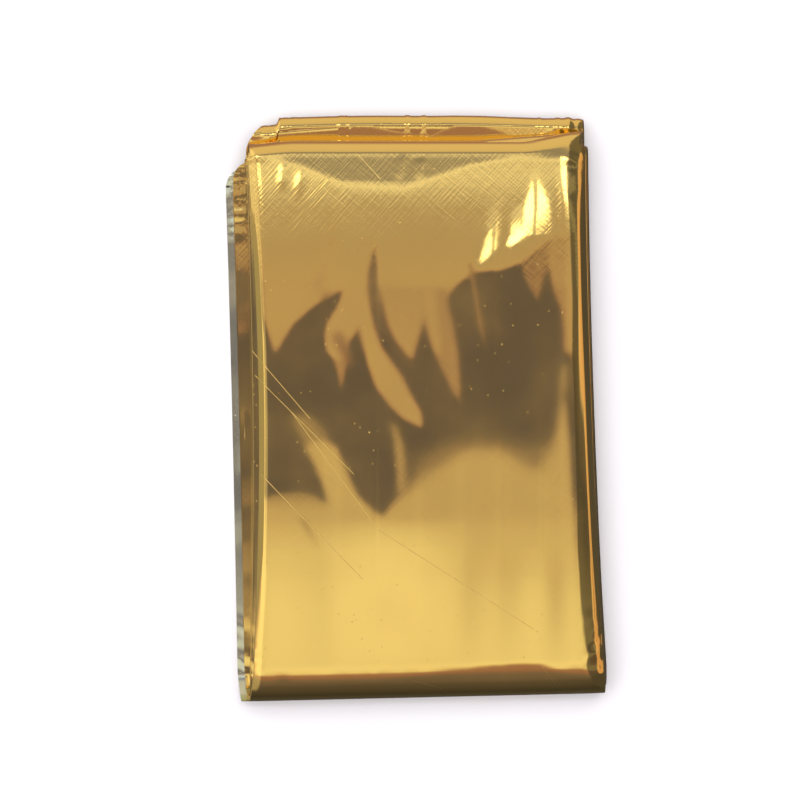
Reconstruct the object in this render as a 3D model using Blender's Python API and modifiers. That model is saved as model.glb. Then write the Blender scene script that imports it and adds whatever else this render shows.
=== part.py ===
"""Emergency foil blanket, folded flat to its pocket size.

The blanket is one metallised film, cut 1.30 m wide and 2.10 m long. It is halved four times across its
width, which leaves a strip one panel wide, and that strip is doubled along its length. The doubled strip
is the ribbon modelled here. Three more halvings stack the ribbon in eight layers, one solid with a
back-and-forth section. The packet lies on its back: +Y is its head, +X its right side and +Z its front.
"""

import math
from collections import namedtuple

import bmesh
import bpy

MM = 0.001

# The film as cut, and the panel that the halvings leave
SHEET_WIDTH = 1.30
SHEET_LENGTH = 2.10
HALVED_ACROSS = 4
HALVED_ALONG = 4
PANEL_WIDTH = SHEET_WIDTH / 2**HALVED_ACROSS
PANEL_LENGTH = SHEET_LENGTH / 2**HALVED_ALONG

# The ribbon: the doubled strip of thirty-two plies, with the air that is pressed between them
RIBBON_HALVINGS = HALVED_ALONG - 1
RIBBON_THICKNESS = 1.30 * MM
LAYER_GAP = 0.38 * MM
LAYER_PITCH = RIBBON_THICKNESS + LAYER_GAP
LAYERS = 2**RIBBON_HALVINGS
PACKET_THICKNESS = LAYERS * LAYER_PITCH - LAYER_GAP

# Where the folds turn: their centres lie this far from the middle of the packet
FOOT_CENTRE = -PANEL_LENGTH / 2 + 3.7 * MM
FRONT_CENTRE = PANEL_LENGTH / 2 - 5.6 * MM
FRONT_END = FRONT_CENTRE + 1.5 * LAYER_PITCH
BACK_CENTRE = PANEL_LENGTH / 2 + 1.2 * MM
BACK_THROAT = PANEL_LENGTH / 2 - 3.2 * MM
BACK_SWELL = 1.00 * MM
BACK_LAYERS = (2, 3)
FIRST_FRONT_LAYER = 4

# The two layers whose ends are free at the head
OPEN_END = {0: PANEL_LENGTH / 2 - 5.2 * MM, 1: PANEL_LENGTH / 2 - 4.6 * MM}

# Each layer's side edges, as millimetres past the panel's own half width, at the head and at the foot.
# bow is how far the left edge draws in halfway down. The row number is the layer, counted from the floor.
Sides = namedtuple("Sides", "left_head left_foot bow right_head right_foot")
SIDES = (
    Sides(left_head=4.9, left_foot=0.1, bow=0.3, right_head=-1.0, right_foot=4.7),
    Sides(left_head=2.5, left_foot=-1.0, bow=0.6, right_head=-0.2, right_foot=4.9),
    Sides(left_head=-0.4, left_foot=-1.4, bow=0.8, right_head=-0.6, right_foot=4.9),
    Sides(left_head=-0.6, left_foot=-1.5, bow=0.9, right_head=-1.0, right_foot=4.6),
    Sides(left_head=0.0, left_foot=-1.5, bow=1.0, right_head=0.2, right_foot=4.4),
    Sides(left_head=-0.5, left_foot=-1.7, bow=1.2, right_head=0.0, right_foot=4.0),
    Sides(left_head=-0.6, left_foot=-2.0, bow=1.6, right_head=-0.3, right_foot=3.6),
    Sides(left_head=-0.8, left_foot=-2.4, bow=2.2, right_head=-0.7, right_foot=3.3),
)
RIGHT_FLARE = 1.6

# Corner radii where a fold or a free end meets the ribbon's sides
Corners = namedtuple("Corners", "left right")
FOOT_CORNERS = Corners(left=0.5 * MM, right=0.4 * MM)
FRONT_CORNERS = Corners(left=0.3 * MM, right=0.4 * MM)
BACK_CORNERS = Corners(left=6.6 * MM, right=1.6 * MM)
OPEN_CORNERS = {
    0: Corners(left=6.0 * MM, right=1.5 * MM),
    1: Corners(left=4.5 * MM, right=1.5 * MM),
}

# How the folds run out of square across the packet: the foot fold rises to the right, the front head fold
# lifts at its right end and dips at its left end, past these shares of the half width, and the back head
# fold falls away to both ends. The middle of the packet stays square up to the last distance.
FOOT_RISE = 0.95 * MM
FRONT_LIFT = 2.2 * MM
FRONT_LIFT_FROM = 0.6
FRONT_DIP = 1.0 * MM
FRONT_DIP_FROM = 0.7
BACK_FALL = 1.0 * MM
SQUARE_TO = 20.0 * MM

# The packet is pressed thinner along its right side, its left side and the head of its front half: over
# this width, by this share of its depth. The head's press grows through the depth between the last two.
RIGHT_ROUND = 5.0 * MM
RIGHT_DROP = 0.26
LEFT_ROUND = 2.5 * MM
LEFT_DROP = 0.07
HEAD_ROUND = 7.0 * MM
HEAD_DROP = 0.12
HEAD_DROP_FROM = 0.4
HEAD_DROP_FULL = 0.9

# Broad swells and hollows of the front, from the packet's middle, with the height as a share of its depth
Swell = namedtuple("Swell", "x y across along height")
SWELLS = (
    Swell(x=-20 * MM, y=10 * MM, across=11 * MM, along=24 * MM, height=0.030),
    Swell(x=2 * MM, y=2 * MM, across=8 * MM, along=26 * MM, height=-0.035),
    Swell(x=20 * MM, y=8 * MM, across=10 * MM, along=22 * MM, height=0.030),
    Swell(x=31 * MM, y=44 * MM, across=7 * MM, along=12 * MM, height=0.040),
    Swell(x=19 * MM, y=44 * MM, across=5 * MM, along=12 * MM, height=-0.035),
    Swell(x=-12 * MM, y=-40 * MM, across=22 * MM, along=16 * MM, height=-0.020),
)

# Rows this far inside each end of a layer, then even rows between them: more on the front than within.
# Columns this far inside each side, then even columns between them.
# A fold between neighbouring layers turns in this many steps, and one more for each layer between them.
END_ROWS = (1.0 * MM, 2.4 * MM, 4.2 * MM, 6.8 * MM)
INNER_ROWS = 3
FRONT_ROWS = 12
LEFT_COLUMNS = (0.0 * MM, 1.2 * MM, 2.8 * MM)
RIGHT_COLUMNS = (6.2 * MM, 4.2 * MM, 2.6 * MM, 1.2 * MM, 0.0 * MM)
INNER_COLUMNS = 5
FOLD_STEPS = 4
SHARP_ANGLE = 40

FOIL_GOLD = (0.78, 0.52, 0.13, 1.0)
FOIL_ROUGHNESS = 0.16

Station = namedtuple("Station", "y z layer next_layer share corners end_y")


def smooth_step(share):
    """0 below 0 and 1 above 1, with level ends."""
    held = min(max(share, 0.0), 1.0)
    return held * held * (3.0 - 2.0 * held)


def fold_order(halvings):
    """The ribbon's panel on each layer, from the floor up, once it is halved that many times."""
    stacks = [[panel] for panel in range(2**halvings)]
    while len(stacks) > 1:
        half = len(stacks) // 2
        turned = stacks[half:][::-1]
        stacks = [stacks[i] + turned[i][::-1] for i in range(half)]
    return stacks[0]


def layer_height(layer, y):
    """The middle of a layer above the floor. The two layers of the back fold part towards their fold."""
    height = RIBBON_THICKNESS / 2 + layer * LAYER_PITCH
    if layer in BACK_LAYERS:
        side = 1.0 if layer == max(BACK_LAYERS) else -1.0
        height += side * BACK_SWELL * smooth_step((y - BACK_THROAT) / (BACK_CENTRE - BACK_THROAT))
    return height


def head_centre(layer):
    """How far up the packet a layer runs straight before its fold, or to its free end."""
    if layer in OPEN_END:
        return OPEN_END[layer]
    return BACK_CENTRE if layer in BACK_LAYERS else FRONT_CENTRE


def head_corners(layer):
    """The corner radii at a layer's head, for its free end or for the fold that it turns in."""
    if layer in OPEN_CORNERS:
        return OPEN_CORNERS[layer]
    return BACK_CORNERS if layer in BACK_LAYERS else FRONT_CORNERS


def run_places(layer):
    """How far up the packet each row of a layer lies, from its foot to its head."""
    head, foot = head_centre(layer), FOOT_CENTRE
    between = FRONT_ROWS if layer == LAYERS - 1 else INNER_ROWS
    low, high = foot + END_ROWS[-1], head - END_ROWS[-1]
    places = [foot] + [foot + inside for inside in END_ROWS]
    places += [low + (high - low) * step / (between + 1) for step in range(1, between + 1)]
    return places + [head - inside for inside in reversed(END_ROWS)] + [head]


def run_stations(layer, to_foot):
    """The stations of one panel between its two folds."""
    head, foot = head_centre(layer), FOOT_CENTRE
    head_end = head if layer in OPEN_END else head + fold_radius(layer, layer_met(layer, "head"), head)
    foot_end = foot - fold_radius(layer, layer_met(layer, "foot"), foot)
    stations = []
    for y in sorted(run_places(layer), reverse=to_foot):
        near_head = y > 0
        stations.append(
            Station(
                y=y,
                z=layer_height(layer, y),
                layer=layer,
                next_layer=layer,
                share=0.0,
                corners=head_corners(layer) if near_head else FOOT_CORNERS,
                end_y=head_end if near_head else foot_end,
            )
        )
    return stations


def fold_radius(layer, other, y):
    """Half the distance between two layers' middles where they fold into each other."""
    return abs(layer_height(layer, y) - layer_height(other, y)) / 2


def layer_met(layer, end):
    """The layer that this one folds into at its head or its foot, or itself at a free end."""
    order = fold_order(RIBBON_HALVINGS)
    panel = order[layer]
    runs_to_foot = panel % 2 == 0
    step = 1 if (end == "foot") == runs_to_foot else -1
    if not 0 <= panel + step < LAYERS:
        return layer
    return order.index(panel + step)


def fold_stations(layer, other, at_foot):
    """The half turn from one layer to the next, without its two ends, which the runs hold."""
    centre_y = FOOT_CENTRE if at_foot else head_centre(layer)
    low, high = layer_height(layer, centre_y), layer_height(other, centre_y)
    centre_z, radius = (low + high) / 2, abs(high - low) / 2
    steps = FOLD_STEPS + abs(other - layer) - 1
    out = -1.0 if at_foot else 1.0
    rise = 1.0 if high > low else -1.0
    stations = []
    for step in range(1, steps):
        angle = math.pi * step / steps
        stations.append(
            Station(
                y=centre_y + out * radius * math.sin(angle),
                z=centre_z - rise * radius * math.cos(angle),
                layer=layer,
                next_layer=other,
                share=step / steps,
                corners=FOOT_CORNERS if at_foot else head_corners(layer),
                end_y=centre_y + out * radius,
            )
        )
    return stations


def ribbon_stations():
    """Every station of the ribbon, from its free end on the floor to its free end on the second layer."""
    order = fold_order(RIBBON_HALVINGS)
    stations = []
    for panel in range(LAYERS):
        layer = order.index(panel)
        to_foot = panel % 2 == 0
        stations += run_stations(layer, to_foot)
        if panel + 1 < LAYERS:
            stations += fold_stations(layer, order.index(panel + 1), to_foot)
    return stations


def side_edges(layer, y):
    """A layer's left and right edges at this distance up the packet."""
    sides = SIDES[layer]
    down = 0.5 - y / PANEL_LENGTH
    held = min(max(down, 0.0), 1.0)
    left = sides.left_head + (sides.left_foot - sides.left_head) * held
    left -= sides.bow * math.sin(math.pi * held)
    right = sides.right_head + (sides.right_foot - sides.right_head) * held**RIGHT_FLARE
    return -PANEL_WIDTH / 2 - left * MM, PANEL_WIDTH / 2 + right * MM


def corner_inset(radius, from_end):
    """How far a rounded corner draws the side in, this far from the ribbon's end."""
    if from_end >= radius:
        return 0.0
    return radius - math.sqrt(radius**2 - (radius - max(from_end, 0.0)) ** 2)


def out_of_square(x, y, layer):
    """How far a fold line strays up the packet at this place across it."""
    half = PANEL_WIDTH / 2
    weight = smooth_step((abs(y) - SQUARE_TO) / (PANEL_LENGTH / 2 - SQUARE_TO))
    if y < 0:
        stray = FOOT_RISE * x / half
    elif layer >= FIRST_FRONT_LAYER:
        stray = FRONT_LIFT * smooth_step((x / half - FRONT_LIFT_FROM) / (1 - FRONT_LIFT_FROM))
        stray -= FRONT_DIP * smooth_step((-x / half - FRONT_DIP_FROM) / (1 - FRONT_DIP_FROM))
    else:
        stray = -BACK_FALL * (x / half) ** 2
    return stray * weight


def column_places(left, right):
    """How far across the packet each column lies, from the ribbon's left side to its right side."""
    places = [left + inside for inside in LEFT_COLUMNS]
    low, high = places[-1], right - RIGHT_COLUMNS[0]
    places += [low + (high - low) * step / (INNER_COLUMNS + 1) for step in range(1, INNER_COLUMNS + 1)]
    return places + [right - inside for inside in RIGHT_COLUMNS]


def place_on_ribbon(station, column):
    """The point of the ribbon's middle surface at a station and a column."""
    here, there = side_edges(station.layer, station.y), side_edges(station.next_layer, station.y)
    left = here[0] + (there[0] - here[0]) * station.share
    right = here[1] + (there[1] - here[1]) * station.share
    from_end = abs(station.end_y - station.y)
    left += corner_inset(station.corners.left, from_end)
    right -= corner_inset(station.corners.right, from_end)
    x = column_places(left, right)[column]
    return x, station.y + out_of_square(x, station.y, station.layer), station.z


def swell_share(x, y):
    """The front's swells and hollows here, as a share of the packet's depth."""
    total = 0.0
    for swell in SWELLS:
        spread = ((x - swell.x) / swell.across) ** 2 + ((y - swell.y) / swell.along) ** 2
        total += swell.height * math.exp(-spread)
    return total


def edge_drop(inside, width, drop):
    """A rounded fall towards an edge, as a share of the height, this far inside the edge."""
    near = 1.0 - min(max(inside / width, 0.0), 1.0)
    return drop * near * near


def press(point):
    """The stack as it lies: thinner along its rounded sides and head, with the front's soft swells."""
    x, y, z = point
    left, _ = side_edges(LAYERS - 1, y)
    right = max(side_edges(layer, y)[1] for layer in range(LAYERS))
    height = z / PACKET_THICKNESS
    in_front = smooth_step((height - HEAD_DROP_FROM) / (HEAD_DROP_FULL - HEAD_DROP_FROM))
    fall = edge_drop(right - x, RIGHT_ROUND, RIGHT_DROP) + edge_drop(x - left, LEFT_ROUND, LEFT_DROP)
    fall += edge_drop(FRONT_END - y, HEAD_ROUND, HEAD_DROP) * in_front
    return x, y, z * (1.0 - fall + swell_share(x, y) * height)


def foil_material():
    """The film's gold side: bright metal under a clear gold lacquer."""
    material = bpy.data.materials.new("gold_foil")
    material.use_nodes = True
    shader = material.node_tree.nodes["Principled BSDF"]
    shader.inputs["Base Color"].default_value = FOIL_GOLD
    shader.inputs["Metallic"].default_value = 1.0
    shader.inputs["Roughness"].default_value = FOIL_ROUGHNESS
    return material


def folded_ribbon():
    """A flat grid with a row for each station, laid along the folds and given the ribbon's thickness."""
    stations = ribbon_stations()
    rows = len(stations) - 1
    columns = len(LEFT_COLUMNS) + INNER_COLUMNS + len(RIGHT_COLUMNS) - 1
    sheet = bmesh.new()
    bmesh.ops.create_grid(sheet, x_segments=columns, y_segments=rows, size=0.5)
    for vertex in sheet.verts:
        column = round((vertex.co.x + 0.5) * columns)
        row = round((vertex.co.y + 0.5) * rows)
        vertex.co = place_on_ribbon(stations[row], column)
    mesh = bpy.data.meshes.new("ribbon")
    sheet.to_mesh(mesh)
    sheet.free()
    ribbon = bpy.data.objects.new("ribbon", mesh)
    bpy.context.scene.collection.objects.link(ribbon)
    wall = ribbon.modifiers.new("thickness", "SOLIDIFY")
    wall.thickness = RIBBON_THICKNESS
    wall.offset = 0.0
    wall.use_even_offset = True
    return ribbon


def stand_on_origin(mesh):
    """Moves the mesh so that its box stands on the origin, centred, with its lowest face at height 0."""
    middle = [0.0, 0.0, 0.0]
    for axis in range(3):
        values = [vertex.co[axis] for vertex in mesh.vertices]
        middle[axis] = (min(values) + max(values)) / 2 if axis < 2 else min(values)
    for vertex in mesh.vertices:
        for axis in range(3):
            vertex.co[axis] -= middle[axis]


def build():
    """Clears the scene and makes the folded blanket, in a collection named for it."""
    for old in list(bpy.data.objects):
        bpy.data.objects.remove(old, do_unlink=True)
    ribbon = folded_ribbon()
    graph = bpy.context.evaluated_depsgraph_get()
    mesh = bpy.data.meshes.new_from_object(ribbon.evaluated_get(graph))
    bpy.data.objects.remove(ribbon)
    for vertex in mesh.vertices:
        vertex.co = press(vertex.co)
    stand_on_origin(mesh)
    work = bmesh.new()
    work.from_mesh(mesh)
    bmesh.ops.recalc_face_normals(work, faces=work.faces)
    work.to_mesh(mesh)
    work.free()
    mesh.shade_smooth()
    mesh.set_sharp_from_angle(angle=math.radians(SHARP_ANGLE))
    mesh.materials.clear()
    mesh.materials.append(foil_material())
    blanket = bpy.data.objects.new("foil_blanket", mesh)
    parts = bpy.data.collections.new("emergency_foil_blanket")
    bpy.context.scene.collection.children.link(parts)
    parts.objects.link(blanket)


build()
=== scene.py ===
"""Emergency foil blanket, folded to its pocket size: all of its film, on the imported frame."""

import math
from collections import namedtuple

import bmesh
import bpy
import numpy as np
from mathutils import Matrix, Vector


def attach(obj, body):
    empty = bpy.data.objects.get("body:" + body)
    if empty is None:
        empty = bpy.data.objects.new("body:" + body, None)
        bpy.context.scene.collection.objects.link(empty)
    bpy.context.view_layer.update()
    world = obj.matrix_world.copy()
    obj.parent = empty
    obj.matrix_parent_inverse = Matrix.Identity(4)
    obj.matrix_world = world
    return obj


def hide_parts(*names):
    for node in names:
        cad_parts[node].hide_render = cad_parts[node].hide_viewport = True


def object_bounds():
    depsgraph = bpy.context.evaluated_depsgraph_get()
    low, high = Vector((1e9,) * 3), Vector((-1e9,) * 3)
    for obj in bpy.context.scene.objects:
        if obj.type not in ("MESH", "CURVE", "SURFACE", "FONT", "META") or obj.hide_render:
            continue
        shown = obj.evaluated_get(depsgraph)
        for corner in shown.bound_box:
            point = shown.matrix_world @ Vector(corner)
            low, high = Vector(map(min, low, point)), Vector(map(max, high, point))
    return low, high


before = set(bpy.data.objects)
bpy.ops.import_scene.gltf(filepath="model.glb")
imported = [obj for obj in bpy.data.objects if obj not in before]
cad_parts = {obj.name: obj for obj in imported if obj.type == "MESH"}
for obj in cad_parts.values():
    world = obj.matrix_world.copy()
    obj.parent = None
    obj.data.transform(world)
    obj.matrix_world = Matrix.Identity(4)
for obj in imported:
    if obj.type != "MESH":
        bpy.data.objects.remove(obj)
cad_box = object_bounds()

# The camera looks straight down on the packet's front through a long lens, as the photograph does. The
# packet fills the same part of the frame: its box is centred a little right of the middle and below it.
MM = 0.001
PICTURE_WIDTH = 0.188
CAMERA_DISTANCE = 1.2
CAMERA_SENSOR = 36.0
CAMERA_SEES_TO = 10.0
VIEW_CENTRE = (-3.8 * MM, 1.9 * MM)

camera_data = bpy.data.cameras.new("camera")
camera_data.sensor_width = CAMERA_SENSOR
camera_data.lens = CAMERA_SENSOR * CAMERA_DISTANCE / PICTURE_WIDTH
camera_data.clip_end = CAMERA_SEES_TO
camera = bpy.data.objects.new("camera", camera_data)
camera.location = (VIEW_CENTRE[0], VIEW_CENTRE[1], cad_box[1].z + CAMERA_DISTANCE)
bpy.context.scene.collection.objects.link(camera)
bpy.context.scene.camera = camera

# The blanket. One film of metallised polyester, gold on its outer side and silver on its inner side, cut
# 1.30 m by 2.10 m. Four halvings across its width and four along its length fold it into 256 plies. The
# film is gridded flat, more finely where it shows, and each of its points is then carried to its fold.
FILM_WIDTH = 1300.0
FILM_LENGTH = 2100.0
HALVINGS = 4
PANELS = 2**HALVINGS
PANEL_WIDTH = FILM_WIDTH / PANELS
PANEL_LENGTH = FILM_LENGTH / PANELS

# The narrowed strip is doubled along its length into a ribbon of 32 plies, which lies in eight layers. Two of
# them are the back fold, which sticks out at the packet's head.
LAYERS = PANELS // 2
BACK_LAYERS = (2, 3)
RIBBON_THICKNESS = 1.36
LAYER_PITCH = 1.68
FLOOR_TO_MIDDLE = 0.72
PLY_PITCH = RIBBON_THICKNESS / (2 * PANELS)
PACKET_THICKNESS = 13.06

# Millimetres from the packet's middle to where its folds turn
FOOT_CENTRE = -61.9
FRONT_CENTRE = 60.0
BACK_CENTRE = 66.8
BACK_THROAT = 62.4
BACK_SWELL = 1.0
FIRST_OPEN_END = 60.4
LAST_CLOSED_END = 61.0

# Each layer's sides, in millimetres past half a panel's width, at the head and the foot, from the floor up.
# bow draws the left side in halfway down. over and under are how far the outermost ply of the layer's upper
# and lower face sticks out past the folds at its left side.
Sides = namedtuple("Sides", "left_head left_foot bow right_head right_foot over under")
SIDES = (
    Sides(2.9, -0.3, 0.2, -1.0, 4.7, 0.2, 1.9),
    Sides(2.5, -0.6, 0.5, -0.2, 4.9, 0.5, 0.3),
    Sides(-0.4, -1.4, 0.8, -0.6, 4.9, 0.0, 0.0),
    Sides(-0.6, -1.5, 0.9, -1.0, 4.6, 0.0, 0.0),
    Sides(0.0, -1.5, 1.0, 0.2, 4.6, 0.0, 0.0),
    Sides(-0.5, -1.7, 1.2, 0.0, 4.4, 0.0, 0.0),
    Sides(-0.6, -2.0, 1.6, -0.3, 4.2, 0.0, 0.0),
    Sides(-0.8, -2.4, 2.2, -0.7, 4.0, 0.0, 0.0),
)
RIGHT_FLARE = 1.6

# How far the folds run out of square towards the packet's sides. The back fold has a step near its left end.
FOOT_RISE = 0.95
FRONT_LIFT, FRONT_LIFT_FROM = 2.2, 0.6
FRONT_DIP, FRONT_DIP_FROM = 1.0, 0.7
BACK_FALL = 1.0
BACK_STEP, BACK_STEP_FROM, BACK_STEP_WIDTH = 1.7, -32.2, 0.8
SQUARE_TO = 20.0

# The stack is pressed thinner at its sides and head: how far in that begins, and by what share at the edge.
# At the head only the front layers are. The front fold turns over three layers.
RIGHT_ROUND, RIGHT_DROP = 7.0, 0.27
LEFT_ROUND, LEFT_DROP = 2.5, 0.07
HEAD_ROUND, HEAD_DROP = 4.5, 0.045
HEAD_DROP_FROM, HEAD_DROP_FULL = 0.4, 0.9
FRONT_TURN_RADIUS = 1.5 * LAYER_PITCH


def smooth_step(share):
    """0 below 0 and 1 above 1, with level ends."""
    held = np.clip(share, 0.0, 1.0)
    return held * held * (3.0 - 2.0 * held)


def fold_order(halvings):
    """Which panel lies on each level, from the bottom up, once a strip is halved that many times."""
    stacks = [[panel] for panel in range(2**halvings)]
    while len(stacks) > 1:
        half = len(stacks) // 2
        turned = stacks[half:][::-1]
        stacks = [stacks[i] + turned[i][::-1] for i in range(half)]
    return stacks[0]


ply_of_column = np.argsort(fold_order(HALVINGS)).astype(float)
layer_of_panel = np.argsort(fold_order(HALVINGS - 1))
heading_of_panel = np.where(np.arange(LAYERS) % 2 == 0, -1.0, 1.0)


def layer_height(layer, y):
    """The middle of a layer above the floor. The two layers of the back fold part towards their fold."""
    swell = BACK_SWELL * np.clip((y - BACK_THROAT) / (BACK_CENTRE - BACK_THROAT), 0.0, 1.0)
    under, over = BACK_LAYERS
    parting = np.where(layer == over, swell, np.where(layer == under, -swell, 0.0))
    return FLOOR_TO_MIDDLE + layer * LAYER_PITCH + parting


# The seven folds of the ribbon, each numbered as the panel that it leads to: the middle of its turn, its
# radius, its way out, its way up or down, and its share of a panel
fold_out = np.where(np.arange(LAYERS) % 2 == 1, -1.0, 1.0)
fold_y = np.full(LAYERS, FOOT_CENTRE)
fold_z = np.zeros(LAYERS)
fold_radius = np.zeros(LAYERS)
fold_rise = np.zeros(LAYERS)
for turn in range(1, LAYERS):
    before, after = layer_of_panel[turn - 1], layer_of_panel[turn]
    if fold_out[turn] > 0:
        fold_y[turn] = BACK_CENTRE if {before, after} == set(BACK_LAYERS) else FRONT_CENTRE
    low, high = layer_height(before, fold_y[turn]), layer_height(after, fold_y[turn])
    fold_z[turn] = (low + high) / 2
    fold_radius[turn] = abs(high - low) / 2
    fold_rise[turn] = 1.0 if high > low else -1.0
fold_share = fold_radius * math.pi / 2 / PANEL_LENGTH
CLOSED_END_SHARE = 0.006
start_share = fold_share.copy()
start_share[0] = 0.0
end_share = np.append(fold_share[1:], CLOSED_END_SHARE)
head_of_layer = np.full(LAYERS, FRONT_CENTRE)
head_of_layer[:4] = FIRST_OPEN_END, LAST_CLOSED_END, BACK_CENTRE, BACK_CENTRE

# The creases between the columns of the flat film: odd ones nest at the packet's right side, and even ones
# turn at its left. Each strays inwards a little, by another amount in each strip.
crease_gap = np.zeros(PANELS + 1)
crease_gap[1:PANELS] = np.diff(ply_of_column)
crease_radius = np.abs(crease_gap) / 2 * PLY_PITCH
crease_share = crease_radius * math.pi / 2 / PANEL_WIDTH
crease_share[[0, PANELS]] = 0.0
WIDEST_CREASE = crease_radius.max()
CREASE_STRAY = 0.35
STRAY_AT_RIGHT = 0.3
STRAY_SEED = 7
crease_stray = np.random.default_rng(STRAY_SEED).uniform(0.0, CREASE_STRAY, (PANELS + 1, PANELS))
LAST_COLUMN_BACK = 0.5

# The head's rounded corners: the left one of each layer, from the floor up, and the right one of all of them.
# The back fold reaches past the middle of its turn.
LEFT_CORNERS = np.array((6.0, 4.5, 6.6, 6.6, 0.6, 0.4, 0.4, 0.6))
RIGHT_CORNER = 1.0
BACK_END_REACH = LAYER_PITCH / 2 + BACK_SWELL + RIBBON_THICKNESS / 2
FAR_FROM_HEAD = 99.0


def sides_of(layer):
    """The sides of each of these layers."""
    return Sides(*np.array(SIDES)[layer].T)


def side_edges(layer, y):
    """A layer's left and right sides at this distance up the packet, as x from its middle."""
    sides = sides_of(layer)
    held = np.clip(0.5 - y / PANEL_LENGTH, 0.0, 1.0)
    left = sides.left_head + (sides.left_foot - sides.left_head) * held - sides.bow * np.sin(math.pi * held)
    right = sides.right_head + (sides.right_foot - sides.right_head) * held**RIGHT_FLARE
    return -PANEL_WIDTH / 2 - left, PANEL_WIDTH / 2 + right


def corner_inset(radius, from_end):
    """How far a rounded corner draws the side in, this far from the ribbon's end."""
    into = np.clip(radius - np.maximum(from_end, 0.0), 0.0, None)
    return radius - np.sqrt(np.maximum(radius**2 - into**2, 0.0))


LEAST_SPREAD = 1e-9


def turn_angle(share, in_start, spread):
    """How far round its turn a point is: its first half ends a panel and its second half starts the next."""
    first_half = np.clip((share - (1 - spread)) / spread, 0, 1)
    return math.pi / 2 * np.where(in_start, 1 + share / spread, first_half)


def along_ribbon(v):
    """Where a point lies along the folded ribbon, from its distance down the flat film."""
    along = v / PANEL_LENGTH
    down = along <= LAYERS
    path = np.where(down, along, PANELS - along)
    panel = np.clip(np.floor(path).astype(int), 0, LAYERS - 1)
    share = path - panel
    layer = layer_of_panel[panel]
    heading = heading_of_panel[panel]
    head, foot = head_of_layer[layer], FOOT_CENTRE
    run = np.clip((share - start_share[panel]) / (1 - start_share[panel] - end_share[panel]), 0, 1)
    y = np.where(heading < 0, head + (foot - head) * run, foot + (head - foot) * run)
    in_start = share < start_share[panel]
    in_end = (share > 1 - end_share[panel]) & (panel < LAYERS - 1)
    turn = np.where(in_start, panel, np.minimum(panel + 1, LAYERS - 1))
    angle = turn_angle(share, in_start, np.maximum(fold_share[turn], LEAST_SPREAD))
    at_end = panel == LAYERS - 1
    closing = np.where(at_end, turn_angle(share, False, CLOSED_END_SHARE), 0.0)
    return dict(
        side=np.where(down, 1.0, -1.0),
        strip=np.clip(np.floor(along).astype(int), 0, PANELS - 1),
        layer=layer,
        heading=heading,
        y=y,
        turning=in_start | in_end,
        in_start=in_start,
        turn=turn,
        angle=angle,
        closing=closing,
    )


def across_strip(u, place):
    """Where a point lies across the folded strip: its ply, counted from the outermost, and its x."""
    across = u / PANEL_WIDTH
    column = np.clip(np.floor(across).astype(int), 0, PANELS - 1)
    share = across - column
    start, end = crease_share[column], crease_share[column + 1]
    run = np.clip((share - start) / (1 - start - end), 0, 1)
    in_start, in_end = share < start, share > 1 - end
    crease = np.where(in_start, column, column + 1)
    angle = turn_angle(share, in_start, np.maximum(crease_share[crease], LEAST_SPREAD))
    before = ply_of_column[np.clip(crease - 1, 0, PANELS - 1)]
    after = ply_of_column[np.clip(crease, 0, PANELS - 1)]
    creasing = (in_start | in_end) & (crease > 0) & (crease < PANELS)
    turned = (before + after) / 2 - (after - before) / 2 * np.cos(angle)
    ply = np.where(creasing, turned, ply_of_column[column])
    left, right = ribbon_sides(place)
    first = crease_x(column, left, right, place)
    last = crease_x(column + 1, left, right, place)
    out = np.where(crease % 2 == 0, -1.0, 1.0)
    turned_x = crease_x(crease, left, right, place) + out * crease_radius[crease] * np.sin(angle)
    x = np.where(creasing, turned_x, first + (last - first) * run)
    return column, ply, x


def ribbon_sides(place):
    """The ribbon's two sides at each place along it, between two layers' sides while it turns."""
    turn = place["turn"]
    y = np.where(
        place["turning"],
        fold_y[turn] + fold_out[turn] * fold_radius[turn] * np.sin(place["angle"]),
        place["y"],
    )
    before, after = layer_of_panel[turn - 1], layer_of_panel[turn]
    here = side_edges(place["layer"], y)
    first, second = side_edges(before, y), side_edges(after, y)
    share = place["angle"] / math.pi
    sides = [
        np.where(place["turning"], first[i] + (second[i] - first[i]) * share, here[i]) for i in range(2)
    ]
    head = head_of_layer[place["layer"]]
    head_end = head + BACK_END_REACH * (head == BACK_CENTRE)
    from_end = np.where(y > 0, head_end - y, FAR_FROM_HEAD)
    left_corner = LEFT_CORNERS[place["layer"]]
    sides[0] = sides[0] + corner_inset(left_corner, from_end)
    sides[1] = sides[1] - corner_inset(RIGHT_CORNER, from_end)
    return sides


def crease_x(crease, left, right, place):
    """The x of a crease's middle line, or of the film's own edge, on this part of the ribbon."""
    sides = sides_of(place["layer"])
    upper = place["side"] * place["heading"] > 0
    stick = np.where(upper, sides.over, sides.under)
    stray = crease_stray[crease, place["strip"]]
    at_left = left + stray
    at_left = np.where(crease == 0, left - stick, at_left)
    at_left = np.where(crease == PANELS, left + LAST_COLUMN_BACK, at_left)
    at_right = right - WIDEST_CREASE - stray * STRAY_AT_RIGHT
    return np.where(crease % 2 == 0, at_left, at_right)


def out_of_square(x, y, layer):
    """How far a fold line strays up the packet at this place across it."""
    half = PANEL_WIDTH / 2
    weight = smooth_step((np.abs(y) - SQUARE_TO) / (PANEL_LENGTH / 2 - SQUARE_TO))
    front = FRONT_LIFT * smooth_step((x / half - FRONT_LIFT_FROM) / (1 - FRONT_LIFT_FROM))
    front = front - FRONT_DIP * smooth_step((-x / half - FRONT_DIP_FROM) / (1 - FRONT_DIP_FROM))
    back = -BACK_FALL * (x / half) ** 2 - BACK_STEP * smooth_step((BACK_STEP_FROM - x) / BACK_STEP_WIDTH)
    stray = np.where(y < 0, FOOT_RISE * x / half, np.where(layer >= LAYERS // 2, front, back))
    return stray * weight


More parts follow.
